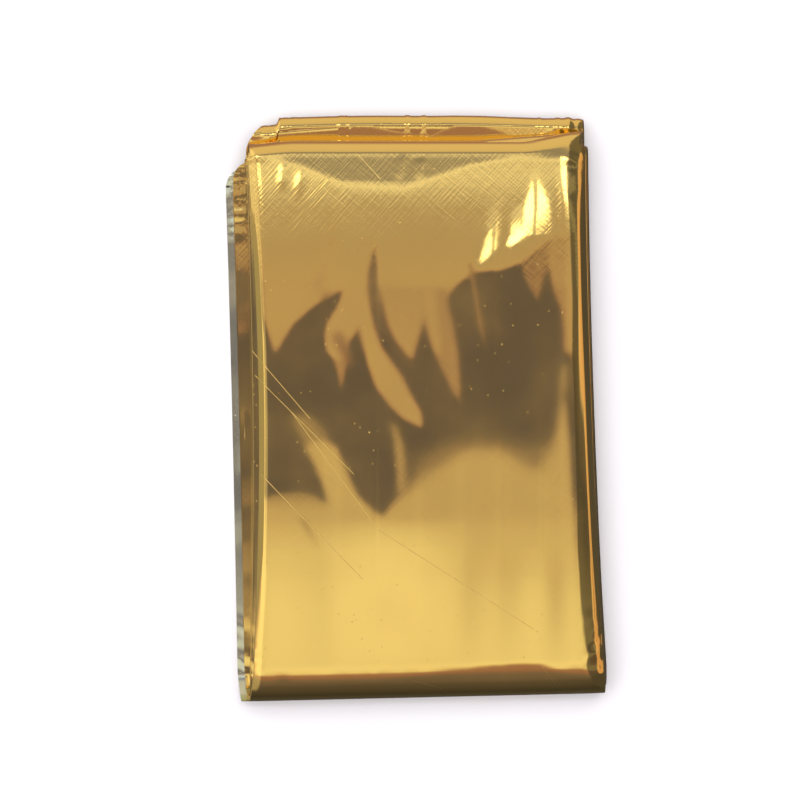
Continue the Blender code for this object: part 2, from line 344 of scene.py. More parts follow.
def edge_drop(inside, width, drop):
    """A rounded fall towards an edge, as a share of the height, this far inside the edge."""
    near = 1.0 - np.clip(inside / width, 0.0, 1.0)
    return drop * near * near


def press(x, y, z):
    """The stack as it lies, thinner along its rounded sides and head."""
    left, _ = side_edges(np.full(x.shape, LAYERS - 1), y)
    right = np.max([side_edges(np.full(x.shape, layer), y)[1] for layer in range(LAYERS)], axis=0)
    height = z / PACKET_THICKNESS
    in_front = smooth_step((height - HEAD_DROP_FROM) / (HEAD_DROP_FULL - HEAD_DROP_FROM))
    fall = edge_drop(right - x, RIGHT_ROUND, RIGHT_DROP) + edge_drop(x - left, LEFT_ROUND, LEFT_DROP)
    front_end = FRONT_CENTRE + FRONT_TURN_RADIUS
    fall = fall + edge_drop(front_end - y, HEAD_ROUND, HEAD_DROP) * in_front
    return z * (1.0 - fall)


# The front ply is loose and softly creased. Each facet is a patch of it, outlined in millimetres, that leans
# its own way down the packet. A tilt is the way that light from the camera leaves it, as a slope from
# upright: above 0 towards the head, and below 0 towards the foot. Later facets lie over earlier ones.
UP, DOWN, LEVEL = 0.062, -0.056, 0.0
Facet = namedtuple("Facet", "tilt softness outline")
FACETS = (
    Facet(LEVEL, 0.5, ((8, 21), (8, 26), (9, 28), (11, 30), (14, 32), (20, 32.5), (25.5, 34.5), (29, 37.5),
        (31.5, 39), (31, 35), (33, 29), (35, 25), (35, 21))),
    Facet(LEVEL, 0.4, ((-26, 22.5), (-22, 24.5), (-19.5, 26), (-17, 28), (-18, 24), (-21, 19), (-26, 19))),
    Facet(LEVEL, 0.6, ((-37, -16), (-37, -21.5), (-34, -20), (-32, -19.5), (-27, -19), (-23.5, -20),
        (-20.5, -22.5), (-22, -16))),
    Facet(LEVEL, 0.9, ((-16.5, -14.5), (-15, -17.5), (-13.5, -20.5), (-11.5, -22.5), (-9.5, -24.5),
        (-7.5, -25), (-5.5, -22.5), (-2.5, -19.5), (2, -16), (2, -14))),
    Facet(UP, 0.5, ((-39, 30), (-39, 26.5), (-36, 21), (-34.5, 17), (-33, 12.5), (-31, 16), (-28.5, 20),
        (-25, 23), (-22, 25.5), (-22, 30))),
    Facet(UP, 0.4, ((-15.5, 29), (-17, 27.5), (-18.5, 24), (-21, 20), (-21.5, 17), (-21, 13.5), (-19, 11),
        (-16.5, 10), (-16, 12.5), (-15.5, 15.5), (-14, 18), (-13, 20.5), (-13, 29))),
    Facet(0.044, 0.4, ((-19.5, 11.5), (-18.5, 8), (-17.5, 3), (-16.5, 7.5), (-16, 11.5))),
    Facet(UP, 0.6, ((-15.5, 28.5), (-14, 21.5), (-13, 16.5), (-11.5, 11), (-9.5, 5), (-6.5, 1), (-3, -2.5),
        (2, -5), (1.5, -1), (-1, 3.5), (-3, 7.5), (-5.5, 11), (-8, 14.5), (-9.5, 18.5), (-10.5, 23),
        (-11, 28.5))),
    Facet(0.054, 0.5, ((-8.5, 28.5), (-7.5, 23), (-6.5, 19), (-4.5, 15), (-2.5, 12), (-0.5, 11), (0, 13.5),
        (1, 17), (2, 21), (2.5, 28.5))),
    Facet(0.043, 0.6, ((1, 28.5), (1.8, 22), (3.4, 15), (5.6, 9.5), (8.0, 4.5), (10.6, 0.5), (10.8, 5),
        (10.2, 13.5), (9.0, 19.5), (7.6, 25.5), (7, 28.5))),
    Facet(0.056, 0.5, ((1, 28.5), (2, 22), (3.6, 16), (5.2, 12), (6.0, 16), (5.0, 21.5), (4.5, 28.5))),
    Facet(0.036, 0.4, ((12, 34.5), (13, 28), (14.5, 19.5), (17, 12), (16, 19.5), (14.5, 28), (13.5, 34.5))),
    Facet(0.052, 0.7, ((29.6, 39.5), (31.3, 33), (31.8, 29), (33, 26), (34.5, 24), (37.5, 24), (37.5, 41))),
    Facet(0.043, 0.7, ((32.3, 28.5), (33.4, 25), (34.3, 19), (34.5, 13), (37.5, 13), (37.5, 28.5))),
    Facet(0.018, 0.3, ((-9.3, 39.5), (-10.5, 36), (-11.4, 32), (-11.4, 28), (-10.5, 23), (-8.8, 18.5),
        (-6.5, 14.5), (-4, 12), (-1, 8.5), (1, 9.5), (-2.5, 13), (-5, 16), (-6.8, 19.5), (-8.1, 24.5),
        (-8.8, 29), (-9, 34.5))),
    Facet(0.036, 0.4, ((31.3, 39.3), (28.5, 37.4), (24.5, 34.2), (25, 31), (26.5, 28), (28.5, 24.5),
        (29.7, 28), (31.2, 34.5))),
    Facet(0.050, 0.8, ((-19.5, 41.5), (-22, 34.5), (-24.5, 27.5), (-22.5, 27), (-20.5, 33.5),
        (-18.5, 39.5))),
    Facet(-0.033, 2.2, ((-6.5, -22), (-2.5, -16), (1, -10.5), (6, -7), (12, -6.5), (20, -6), (27, -8.5),
        (29, -11), (31, -6.5), (37, -6.5), (37.5, -21))),
    Facet(-0.053, 1.3, ((-6.5, -24), (-2.5, -20), (4, -15), (9.5, -11.5), (13, -9.5), (16.5, -9.5),
        (20, -10), (23.5, -12), (27, -14.5), (29, -15), (31, -12.5), (32.5, -7.5), (33, -1), (34.5, 4.5),
        (36, 2), (36.5, -5), (37.5, -25.5), (-6.5, -25.5))),
    Facet(-0.033, 0.8, ((33.3, 0), (33, 6), (34.2, 11), (36.5, 11), (37, 2), (35, 4))),
    Facet(0.030, 0.9, ((-20, 17), (-17.5, 12), (-15, 8), (-13.5, 11), (-15.5, 15), (-18, 19))),
    Facet(-0.036, 1.0, ((-30, -2), (-28, -5.5), (-25.5, -10.5), (-20, -11), (-18, -10), (-21, -5),
        (-24, -1.5), (-27, -0.5))),
    Facet(DOWN, 0.8, ((-26, -9), (-23, -15.5), (-21.5, -19.5), (-19.5, -24.5), (-8.5, -25.5), (-11, -23),
        (-13.5, -20.5), (-15, -17), (-16.5, -13), (-18.5, -9), (-23, -7.5))),
    Facet(-0.044, 0.8, ((-6.5, -2.5), (-5.5, -7.5), (-5, -13.5), (-4.5, -20), (-2.5, -19.5), (-2, -14.5),
        (-2.5, -8.5), (-4, -4))),
    Facet(-0.034, 0.4, ((-27.5, -25), (-25.5, -26.5), (-22, -33.5), (-23.5, -32), (-26, -28.5))),
    Facet(-0.45, 0.4, ((-33, -65), (-31.8, -61.8), (-29, -63.5), (-22, -64), (-9, -63.8), (-2.9, -63),
        (9.8, -61.8), (23.7, -60.8), (29.5, -61.2), (35.5, -63.2), (35.5, -70), (-33, -70))),
    Facet(0.295, 0.4, ((-39, 61), (-37, 60), (-34, 58.8), (-31, 58.3), (-27, 57), (-21, 54.5), (-17, 53),
        (-8.5, 52.4), (-2.5, 52.2), (4, 54.2), (12, 57), (22, 59), (22, 61.5), (-39, 61.5))),
    Facet(0.235, 0.3, ((28.0, 56.2), (29.4, 52.5), (30.5, 49.5), (31.3, 47.6), (32.6, 45.6), (30.6, 44.7),
        (28.6, 43.3), (26.4, 41.2), (24.0, 39.0), (21.0, 37.6), (22.3, 41.6), (24, 44.6), (25.8, 48),
        (26.9, 51.8))),
    Facet(0.235, 0.4, ((33.3, 56.2), (36.2, 53), (38.4, 49.6), (38.7, 47), (38.2, 44.2), (36.6, 45.4),
        (35, 49), (34, 52.4))),
    Facet(0.185, 0.4, ((20.2, 50), (19.2, 48), (17.7, 44), (16.2, 40), (14.2, 33.2), (17.5, 35.4),
        (19.2, 38), (18.9, 42), (19.6, 46))),
)

# Small ridges that catch the light near the head: their ends, half width and height
Ridge = namedtuple("Ridge", "top_x top_y foot_x foot_y across height")
RIDGES = (
    Ridge(-30.9, 58.0, -31.5, 51.5, 0.7, 0.10),
    Ridge(-26.6, 56.0, -27.8, 50.0, 0.7, 0.10),
    Ridge(-3.2, 60.0, -4.0, 53.5, 0.6, 0.05),
    Ridge(1.2, 59.0, 0.6, 53.5, 0.6, 0.06),
)
RIDGE_ENDS = 0.3

# The tilt of the plain film at these distances up the packet. The height that the facets add settles again
# between two such distances, in broad swells and in narrow ones, so that the foot fold is straight.
PLAIN_TILT = (
    (-90, -0.15), (-60, -0.13), (-46, -0.10), (-38, -0.073), (-24, -0.055), (-19, -0.030), (-14, -0.008),
    (20, 0.006), (24.5, 0.014), (28.5, 0.064), (38, 0.095), (44, 0.110), (49, 0.135), (54, 0.17), (70, 0.18),
)
WIDE_SETTLES = (-26.0, -60.0)
NARROW_SETTLES = (-34.0, -63.0)
WIDE_SOFTNESS, NARROW_SOFTNESS = 5.0, 1.5
FOOT_BLEND = 2.0

# The front's height is summed up between these distances, on a square field that is wider than the front
FRONT_RUN = (-64.5, 60.0)
FRONT_RUN_SOFT = 2.0
FIELD_STEP = 0.25
FIELD_X = np.arange(-48.0, 48.01, FIELD_STEP)
FIELD_Y = np.arange(-84.0, 70.01, FIELD_STEP)
FRONT_LOOSE = 0.45
LAST_CELL = 1.001


def softened(field, softness):
    """The field with its steps spread over a distance, across and along."""
    reach = int(3 * softness / FIELD_STEP) + 1
    spread = np.exp(-((np.arange(-reach, reach + 1) * FIELD_STEP / softness) ** 2) / 2)
    spread /= spread.sum()
    for axis in (0, 1):
        padded = np.apply_along_axis(np.pad, axis, field, reach, mode="edge")
        field = np.apply_along_axis(np.convolve, axis, padded, spread, mode="valid")
    return field


def inside_outline(outline, x, y):
    """1 inside an outline and 0 outside."""
    inside = np.zeros(x.shape, bool)
    for (ax, ay), (bx, by) in zip(outline, outline[1:] + outline[:1]):
        if ay != by:
            inside ^= ((ay > y) != (by > y)) & (x < (bx - ax) * (y - ay) / (by - ay) + ax)
    return inside.astype(float)


def front_field():
    """The height of the front ply over the packet, summed up from the lean of its facets."""
    x, y = np.meshgrid(FIELD_X, FIELD_Y)
    places, tilts = zip(*PLAIN_TILT)
    plain = np.interp(y, places, tilts)
    tilt = plain
    for facet in FACETS:
        share = softened(inside_outline(facet.outline, x, y), facet.softness)
        tilt = tilt + (facet.tilt - tilt) * share
    leaning = (plain - tilt) / 2
    folding = smooth_step((y - FOOT_CENTRE) / FOOT_BLEND)
    gain = np.repeat((leaning * folding).sum(0)[None, :], 3, axis=0) * FIELD_STEP
    wide, narrow = softened(gain, WIDE_SOFTNESS)[1], softened(gain, NARROW_SOFTNESS)[1]
    settling = 0.0
    for amount, (start, end) in ((np.minimum(wide, 0.0), WIDE_SETTLES), (narrow - wide, NARROW_SETTLES)):
        settling = settling - amount * np.gradient(smooth_step((y - end) / (start - end)), FIELD_STEP, axis=0)
    seen = (y - VIEW_CENTRE[1] / MM) / (CAMERA_DISTANCE / MM)
    slope = (seen - plain) / 2 + leaning + settling
    low, high = FRONT_RUN
    slope *= smooth_step((y - low) / FRONT_RUN_SOFT) * smooth_step((high - y) / FRONT_RUN_SOFT)
    height = np.cumsum(slope, axis=0) * FIELD_STEP
    for ridge in RIDGES:
        share = (ridge.top_y - y) / (ridge.top_y - ridge.foot_y)
        held = np.clip(share, 0, 1)
        middle = ridge.top_x + (ridge.foot_x - ridge.top_x) * held
        ends = smooth_step(share / RIDGE_ENDS) * smooth_step((1 - share) / RIDGE_ENDS)
        height = height + ridge.height * ends * np.exp(-(((x - middle) / ridge.across) ** 2))
    return height - height[np.argmin(np.abs(FIELD_Y - high))]


front_heights = front_field()


def front_relief(x, w):
    """How far the front ply stands off its stack, at x across and w down the front and round its foot."""
    across = np.clip((x - FIELD_X[0]) / FIELD_STEP, 0, len(FIELD_X) - LAST_CELL)
    along = np.clip((w - FIELD_Y[0]) / FIELD_STEP, 0, len(FIELD_Y) - LAST_CELL)
    i, j = across.astype(int), along.astype(int)
    p, q = across - i, along - j
    low = front_heights[j, i] * (1 - p) + front_heights[j, i + 1] * p
    high = front_heights[j + 1, i] * (1 - p) + front_heights[j + 1, i + 1] * p
    return FRONT_LOOSE + low * (1 - q) + high * q


CRUMPLE_WAVES = 5
WAVE_SIZES = (0.6, 1.6)
FIRST_SEED = 3


def crumple(x, y, size, seed):
    """A crumpled surface, about -1 to 1: triangular waves of about this size, laid in random directions."""
    rng = np.random.default_rng(seed)
    total = 0.0
    for _ in range(CRUMPLE_WAVES):
        turn, shift, length = rng.uniform(0, math.pi), rng.uniform(0, 1), size * rng.uniform(*WAVE_SIZES)
        share = (x * math.cos(turn) + y * math.sin(turn)) / length + shift
        total = total + np.abs(4 * (share - np.floor(share)) - 2) - 1
    return total / math.sqrt(CRUMPLE_WAVES)


# Where the outer plies are crumpled: the middle of each place and its half widths, how high and how coarse
# the crumples are, and how much they are drawn out along the packet
Crumple = namedtuple("Crumple", "x y across along height size stretch")
FRONT_CRUMPLES = (
    Crumple(43, -58, 3, 10, 0.17, 2.2, 2.2),
    Crumple(-40, -62, 3, 6, 0.20, 2.0, 2.0),
    Crumple(38.5, 54, 2.5, 9, 0.14, 2.0, 2.0),
)
BACK_CRUMPLES = (
    Crumple(36, 66, 4, 8, 0.22, 2.0, 1.0),
    Crumple(-36, 63, 7, 8, 0.20, 2.4, 1.0),
)
MARGIN_CRUMPLES = (
    Crumple(-44, 52, 4, 10, 0.16, 3.2, 1.3),
    Crumple(-43, 0, 5, 70, 0.06, 5.0, 3.0),
    Crumple(-41, -58, 4, 9, 0.10, 3.0, 2.0),
)
# Creases that run over the back fold, as x, half width and height
BACK_CREASES = (
    (-17.7, 0.35, 0.20), (-16.6, 0.35, 0.16), (-2.0, 0.4, 0.20), (-0.1, 0.4, -0.16), (2.0, 0.4, 0.22),
    (29.2, 0.4, 0.22),
)
BACK_CREASED_ABOVE = 50.0
# The back fold's film lies flatter above this wavering line, given as x and y, by this much a millimetre
BACK_LINE = (
    (-38, 66.6), (-18, 66.5), (-10.6, 66.3), (-6, 65.3), (-3.3, 64.9), (2, 64.6), (3.5, 63.9), (6.7, 65.6),
    (10, 66.5), (15.5, 66.6), (19.5, 65.6), (23, 64.2), (28.5, 63.5), (30.5, 63.5), (31.8, 66.3), (40, 66.3),
)
BACK_FLATTER = 0.065

# The strips of the film that lie at the front and round the back fold, and where the front's relief settles:
# within these widths of its sides, to this share at the left one, and round the folds at its foot and head
FRONT_STRIP = 1
BACK_STRIPS = (3, 4)
LEFT_SETTLE, LEFT_STAYS = 1.6, 0.45
RIGHT_SETTLE = 1.7
FOOT_SETTLED, FOOT_SETTLE = -71.0, 11.0
HEAD_SETTLED, HEAD_SETTLE = 63.0, 3.0
MARGIN_CRUMPLED_TO = -36.0


def crumpled(crumples, x, y):
    """How far these crumples lift the film at each point."""
    lift = np.zeros(x.shape)
    for i, place in enumerate(crumples):
        near = np.exp(-(((x - place.x) / place.across) ** 4) - ((y - place.y) / place.along) ** 4)
        lift = lift + place.height * near * crumple(x, y / place.stretch, place.size, FIRST_SEED + i)
    return lift


def loose_lift(x, w, place):
    """How far an outermost ply stands off its ribbon: the front with its folds, and the rest's crumples."""
    top = np.full(x.shape, LAYERS - 1)
    left, right = side_edges(top, np.clip(w, FOOT_CENTRE, FRONT_CENTRE))
    at_left = LEFT_STAYS + (1.0 - LEFT_STAYS) * smooth_step((x - left) / LEFT_SETTLE)
    settled = smooth_step((right - x) / RIGHT_SETTLE) * at_left
    shown = smooth_step((w - FOOT_SETTLED) / FOOT_SETTLE) * smooth_step((HEAD_SETTLED - w) / HEAD_SETTLE)
    before = (place["strip"] == FRONT_STRIP - 1) & place["turning"]
    after = (place["strip"] == FRONT_STRIP + 1) & place["turning"] & place["in_start"]
    of_front = (place["strip"] == FRONT_STRIP) | before | after
    front = (front_relief(x, w) * settled + crumpled(FRONT_CRUMPLES, x, w)) * shown
    of_back = np.isin(place["strip"], BACK_STRIPS)
    back = crumpled(BACK_CRUMPLES, x, place["y"])
    for middle, half_width, height in BACK_CREASES:
        crease = height * np.exp(-(((x - middle) / half_width) ** 2))
        back = back + crease * (place["y"] > BACK_CREASED_ABOVE)
    line_x, line_y = zip(*BACK_LINE)
    back = back - BACK_FLATTER * np.maximum(place["y"] - np.interp(x, line_x, line_y), 0.0)
    margin = crumpled(MARGIN_CRUMPLES, x, place["y"]) * (x < MARGIN_CRUMPLED_TO)
    return np.where(of_front, front, np.where(of_back, back, margin))


def folded(u, v, inner):
    """Carries points of the flat film to the packet, set in by this much towards their silver side."""
    place = along_ribbon(v)
    column, ply, x = across_strip(u, place)
    silver_way = np.where(column % 2 == 0, -1.0, 1.0)
    offset = RIBBON_THICKNESS / 2 - (ply + 0.5) * PLY_PITCH + silver_way * inner
    turn, angle = place["turn"], place["angle"]
    round_foot = FOOT_CENTRE - fold_radius[FRONT_STRIP] * (math.pi - angle)
    round_head = FRONT_CENTRE + fold_radius[FRONT_STRIP + 1] * angle
    w = np.where(place["turning"] & (turn == FRONT_STRIP), round_foot, place["y"])
    w = np.where(place["turning"] & (turn == FRONT_STRIP + 1), round_head, w)
    offset = offset + loose_lift(x, w, place) * np.clip(1.0 - ply, 0.0, 1.0)
    offset = offset * place["side"]
    outward = -heading_of_panel[np.clip(turn - 1, 0, LAYERS - 1)] * fold_rise[turn]
    radius = fold_radius[turn] + outward * offset
    turned_y = fold_y[turn] + radius * fold_out[turn] * np.sin(angle)
    turned_z = fold_z[turn] - radius * fold_rise[turn] * np.cos(angle)
    run_y = place["y"] + np.abs(offset) * np.sin(place["closing"])
    run_z = layer_height(place["layer"], place["y"]) + place["heading"] * offset * np.cos(place["closing"])
    y = np.where(place["turning"], turned_y, run_y)
    z = np.where(place["turning"], turned_z, run_z)
    y = y + out_of_square(x, y, place["layer"])
    z = np.maximum(press(x, y, z), 0.0)
    return np.stack([x, y, z], axis=-1)


# The grid of the flat film, in millimetres. Columns and rows are close where the film turns, and the panels
# that show have more of them. The first rows of a panel lie these distances from its folds at the packet's
# head and foot, and the folds that show have more steps in each half of their turn.
PLAIN_COLUMNS = 3
OUTER_COLUMNS = 12
HEAD_ROWS = (1.0, 2.4, 4.2, 6.8)
FOOT_ROWS = (4.0,)
PLAIN_ROWS = 6
FRONT_ROWS = 17
TURN_STEPS = {1: 6, 2: 4, 4: 4}
FEWEST_TURN_STEPS = 2


def column_lines():
    """The flat film's columns: the creases, the ends of their turns, and even columns between."""
    lines = [0.0]
    for column in range(PANELS):
        start, end = crease_share[column], crease_share[column + 1]
        between = OUTER_COLUMNS if column == 0 else PLAIN_COLUMNS
        low, high = column + start, column + 1 - end
        if start > 0:
            lines.append(low)
        lines += [low + (high - low) * step / between for step in range(1, between)]
        lines.append(high)
        if end > 0:
            lines.append(column + 1.0)
    return np.array(lines) * PANEL_WIDTH


def panel_rows(panel):
    """One ribbon panel's rows as shares of it, from the end that the ribbon's path enters."""
    start, end = start_share[panel], end_share[panel]
    start_steps = TURN_STEPS.get(panel, FEWEST_TURN_STEPS)
    end_steps = TURN_STEPS.get(panel + 1, FEWEST_TURN_STEPS)
    rows = [start * step / start_steps for step in range(start_steps)] if start > 0 else []
    near_start, near_end = (HEAD_ROWS, FOOT_ROWS) if panel % 2 == 0 else (FOOT_ROWS, HEAD_ROWS)
    between = FRONT_ROWS if panel == FRONT_STRIP else PLAIN_ROWS
    rows += [start] + [start + near / PANEL_LENGTH for near in near_start]
    low, high = start + near_start[-1] / PANEL_LENGTH, 1 - end - near_end[-1] / PANEL_LENGTH
    rows += [low + (high - low) * step / (between + 1) for step in range(1, between + 1)]
    rows += [1 - end - near / PANEL_LENGTH for near in reversed(near_end)] + [1 - end]
    rows += [1 - end + end * step / end_steps for step in range(1, end_steps)] if end > 0 else []
    return [panel + row for row in rows]


def row_lines():
    """The flat film's rows, down to its middle and back."""
    down = [row for panel in range(LAYERS) for row in panel_rows(panel)]
    return np.array(down + [float(LAYERS)] + [PANELS - row for row in reversed(down)]) * PANEL_LENGTH


def row_at(strip, y):
    """How far down the flat film a point of one strip lies, from its distance up the packet."""
    panel = min(strip, PANELS - 1 - strip)
    head = head_of_layer[layer_of_panel[panel]]
    run = (y - FOOT_CENTRE) / (head - FOOT_CENTRE)
    run = run if heading_of_panel[panel] > 0 else 1 - run
    path = panel + start_share[panel] + run * (1 - start_share[panel] - end_share[panel])
    return (path if strip == panel else PANELS - path) * PANEL_LENGTH


# Finer parts of the grid: a span across and a span along the flat film, and the cuts in each of its cells.
# The first are the creased front, its foot and its head, the back fold, and the free edge of the first strip.
# The rest are the free edges of the other strips that stick out at the packet's left.
Finer = namedtuple("Finer", "low_u high_u low_v high_v across along")
MARGIN_COLUMNS = 1.2
MARGIN_REACH = PANEL_WIDTH / OUTER_COLUMNS * MARGIN_COLUMNS
SHOWN_MARGINS = (5, 13, 11, 7, 9)
CREASED_FROM, CREASED_TO = -36.0, 42.0
HEAD_TO = 55.0
BACK_FROM = 58.0
MARGIN_CUTS = (4, 11)
back_low = row_at(BACK_STRIPS[0], BACK_FROM)
FINER = [
    Finer(0, PANEL_WIDTH, row_at(1, CREASED_FROM), row_at(1, CREASED_TO), 11, 11),
    Finer(0, PANEL_WIDTH, row_at(0, FOOT_CENTRE), row_at(1, CREASED_FROM), 6, 5),
    Finer(0, PANEL_WIDTH, row_at(1, CREASED_TO), row_at(2, HEAD_TO), 8, 3),
    Finer(0, PANEL_WIDTH, back_low, row_at(BACK_STRIPS[1], BACK_FROM), 11, 3),
    Finer(0, MARGIN_REACH, 0.0, row_at(0, FOOT_CENTRE), 9, 19),
]
margins = [(strip * PANEL_LENGTH, (strip + 1) * PANEL_LENGTH) for strip in SHOWN_MARGINS]
margins.append((BACK_STRIPS[0] * PANEL_LENGTH, back_low))
FINER += [Finer(0, MARGIN_REACH, low, high, *MARGIN_CUTS) for low, high in margins]


def cut_finer(film, finer):
    """Cuts the cells of one part of the flat film into smaller ones, first along it and then across."""
    for along, cuts in ((True, finer.along), (False, finer.across)):
        edges = set()
        for face in film.faces:
            middle = face.calc_center_median()
            if finer.low_u < middle.x < finer.high_u and finer.low_v < middle.y < finer.high_v:
                for edge in face.edges:
                    run = edge.verts[1].co - edge.verts[0].co
                    if (abs(run.y) > abs(run.x)) == along:
                        edges.add(edge)
        bmesh.ops.subdivide_edges(film, edges=list(edges), cuts=cuts, use_grid_fill=True)


columns, rows = column_lines(), row_lines()
film = bmesh.new()
bmesh.ops.create_grid(film, x_segments=len(columns) - 1, y_segments=len(rows) - 1, size=0.5)
for vertex in film.verts:
    column = round((vertex.co.x + 0.5) * (len(columns) - 1))
    row = round((vertex.co.y + 0.5) * (len(rows) - 1))
    vertex.co = (columns[column], rows[row], 0.0)
for finer in FINER:
    cut_finer(film, finer)
bmesh.ops.triangulate(film, faces=[face for face in film.faces if len(face.verts) > 4])

# The silver side is a skin of its own just inside the gold, along the free edge where it shows. Its points
# are marked by their height above the flat film, and its faces look the other way.
SILVER_MARK = 1.0
FILM_INSET = 0.02
silver_part = [face for face in film.faces if face.calc_center_median().x < MARGIN_REACH]
copied = bmesh.ops.duplicate(film, geom=silver_part)["geom"]
silver_faces = [item for item in copied if isinstance(item, bmesh.types.BMFace)]
for vertex in {vertex for face in silver_faces for vertex in face.verts}:
    vertex.co.z = SILVER_MARK
for face in silver_faces:
    face.material_index = 1
bmesh.ops.reverse_faces(film, faces=silver_faces)

# The bake's map keeps the shape of the flat film: the front panel large along its left, the rest of the gold
# small to its right, and the silver in rows above that, one for each strip
BAKE_MAP = "OFBake"
bake_map = film.loops.layers.uv.new(BAKE_MAP)
FRONT_MAPPED_TO = 58.0
front_low, front_high = row_at(0, FOOT_CENTRE), row_at(2, FRONT_MAPPED_TO)
MAP_EDGE, MAP_RIGHT, SILVER_UP = 0.01, 0.53, 0.78
FRONT_SCALE = 0.97 / (front_high - front_low)
REST_SCALE = 0.46 / FILM_WIDTH
SILVER_SCALE = 0.46 / PANEL_LENGTH
SILVER_ROW, SILVER_ACROSS = 0.013, 0.0013
for face in film.faces:
    middle = face.calc_center_median()
    for loop in face.loops:
        u, v, mark = loop.vert.co
        if mark > 0:
            strip = min(int(middle.y / PANEL_LENGTH), PANELS - 1)
            down_strip = v - strip * PANEL_LENGTH
            spot = (MAP_RIGHT + down_strip * SILVER_SCALE, SILVER_UP + strip * SILVER_ROW + u * SILVER_ACROSS)
        elif middle.x < PANEL_WIDTH and front_low < middle.y < front_high:
            spot = (MAP_EDGE + u * FRONT_SCALE, MAP_EDGE + (v - front_low) * FRONT_SCALE)
        else:
            spot = (MAP_RIGHT + u * REST_SCALE, MAP_EDGE + v * REST_SCALE)
        loop[bake_map].uv = spot

flat = np.array([vertex.co[:] for vertex in film.verts])
blanket_mesh = bpy.data.meshes.new("blanket_film")
film.to_mesh(blanket_mesh)
film.free()
laid = folded(flat[:, 0], flat[:, 1], np.where(flat[:, 2] > 0, FILM_INSET, 0.0))
laid[:, :2] -= (laid[:, :2].min(0) + laid[:, :2].max(0)) / 2
blanket_mesh.vertices.foreach_set("co", (laid * MM).ravel())
blanket_mesh.update()
blanket_mesh.shade_smooth()
blanket = bpy.data.objects.new("blanket_film", blanket_mesh)
bpy.context.scene.collection.objects.link(blanket)

# Both sides of the film are mirror-bright metal under a thin clear layer. Handling leaves fine scratches that
# cross each other, and rolling leaves faint lines across the film.
GOLD_COLOUR, GOLD_POLISH = (0.97, 0.66, 0.155, 1.0), 0.06
SILVER_COLOUR, SILVER_POLISH = (0.73, 0.73, 0.46, 1.0), 0.12
COAT_WEIGHT, COAT_ROUGHNESS = 0.5, 0.35
SCRATCH_DEPTH = 0.0022 * MM


def node(tree, kind, **settings):
    """A new node of this kind with its properties set."""
    made = tree.nodes.new(kind)
    for name, value in settings.items():
        setattr(made, name, value)
    return made


def reckon(tree, operation, *values):
    """One sum over other nodes' values and plain numbers."""
    step = node(tree, "ShaderNodeMath", operation=operation)
    for socket, value in zip(step.inputs, values):
        if isinstance(value, float):
            socket.default_value = value
        else:
            tree.links.new(value, socket)
    return step.outputs[0]


def rise(tree, value, low, high):
    """0 below low and 1 above high, with soft ends."""
    made = node(tree, "ShaderNodeMapRange", interpolation_type="SMOOTHSTEP")
    made.inputs["From Min"].default_value = low
    made.inputs["From Max"].default_value = high
    tree.links.new(value, made.inputs["Value"])
    return made.outputs["Result"]


# The film's fine marks: which way each kind runs, in degrees, how fine they are along each axis, in marks to
# the metre, and their share of the depth. The first is the rolling's lines, and the others are scratches.
Marks = namedtuple("Marks", "turn fineness share")
FINE_MARKS = (
    Marks(0.0, (30, 900, 900), 0.2),
    Marks(-42, (2300, 130, 130), 0.75),
    Marks(50, (2100, 110, 110), 0.6),
)
MARKS_DETAIL = 2.0

# Long scratches on the front, in millimetres, which only the film above a height has. The depths of pits and
# lines are shares of the fine scratches' own.
Scratch = namedtuple("Scratch", "top_x top_y foot_x foot_y width")
LONG_SCRATCHES = (
    Scratch(-43.7, 19.4, -24.9, -2.5, 0.22),
    Scratch(-37.9, 7.7, -14.6, -15.5, 0.16),
    Scratch(-36.5, -15.5, -12.5, -40.2, 0.18),
    Scratch(-29.3, -0.9, -8.8, -28.6, 0.16),
    Scratch(-8.8, -28.6, 27.5, -51.9, 0.14),
    Scratch(-13.6, 59.6, -8.4, 53.8, 0.20),
    Scratch(24.5, 60.0, 29.8, 54.0, 0.22),
    Scratch(-1.0, -64.0, 6.0, -66.0, 0.20),
    Scratch(29.0, -60.0, 33.5, -66.0, 0.22),
)
SCRATCHED_ABOVE = 9.0
HATCHED_FROM, HATCHED_TO, HATCHED_MORE = 26.0, 46.0, 8.0
LINE_DEPTH, LINE_ROUGHNESS = 2.2, 0.35
PIT_SCALE, PIT_SIZE, PIT_DEPTH = 420.0, 0.08, 6.0
CLOUD_SCALE, CLOUD_DETAIL = 60.0, 4.0
WORN_FROM, WORN_TO, WORN_ROUGHNESS = 0.35, 0.75, 0.05


def scratch_line(group, parts, scratch):
    """1 along the middle of a long scratch and 0 from its sides and past its ends."""
    x, y = parts.outputs["X"], parts.outputs["Y"]
    run_x, run_y = scratch.foot_x - scratch.top_x, scratch.foot_y - scratch.top_y
    length = math.hypot(run_x, run_y)
    way_x, way_y = run_x / length, run_y / length
    start = (scratch.top_x * way_x + scratch.top_y * way_y) * MM
    offset = (scratch.top_y * way_x - scratch.top_x * way_y) * MM
    along = reckon(group, "MULTIPLY_ADD", x, way_x, reckon(group, "MULTIPLY_ADD", y, way_y, -start))
    across = reckon(group, "MULTIPLY_ADD", y, way_x, reckon(group, "MULTIPLY_ADD", x, -way_y, -offset))
    share = reckon(group, "DIVIDE", reckon(group, "ABSOLUTE", across), scratch.width / 2 * MM)
    near = reckon(group, "MAXIMUM", reckon(group, "SUBTRACT", 1.0, share), 0.0)
    begun = reckon(group, "GREATER_THAN", along, 0.0)
    within = reckon(group, "MULTIPLY", begun, reckon(group, "LESS_THAN", along, length * MM))
    return reckon(group, "MULTIPLY", near, within)


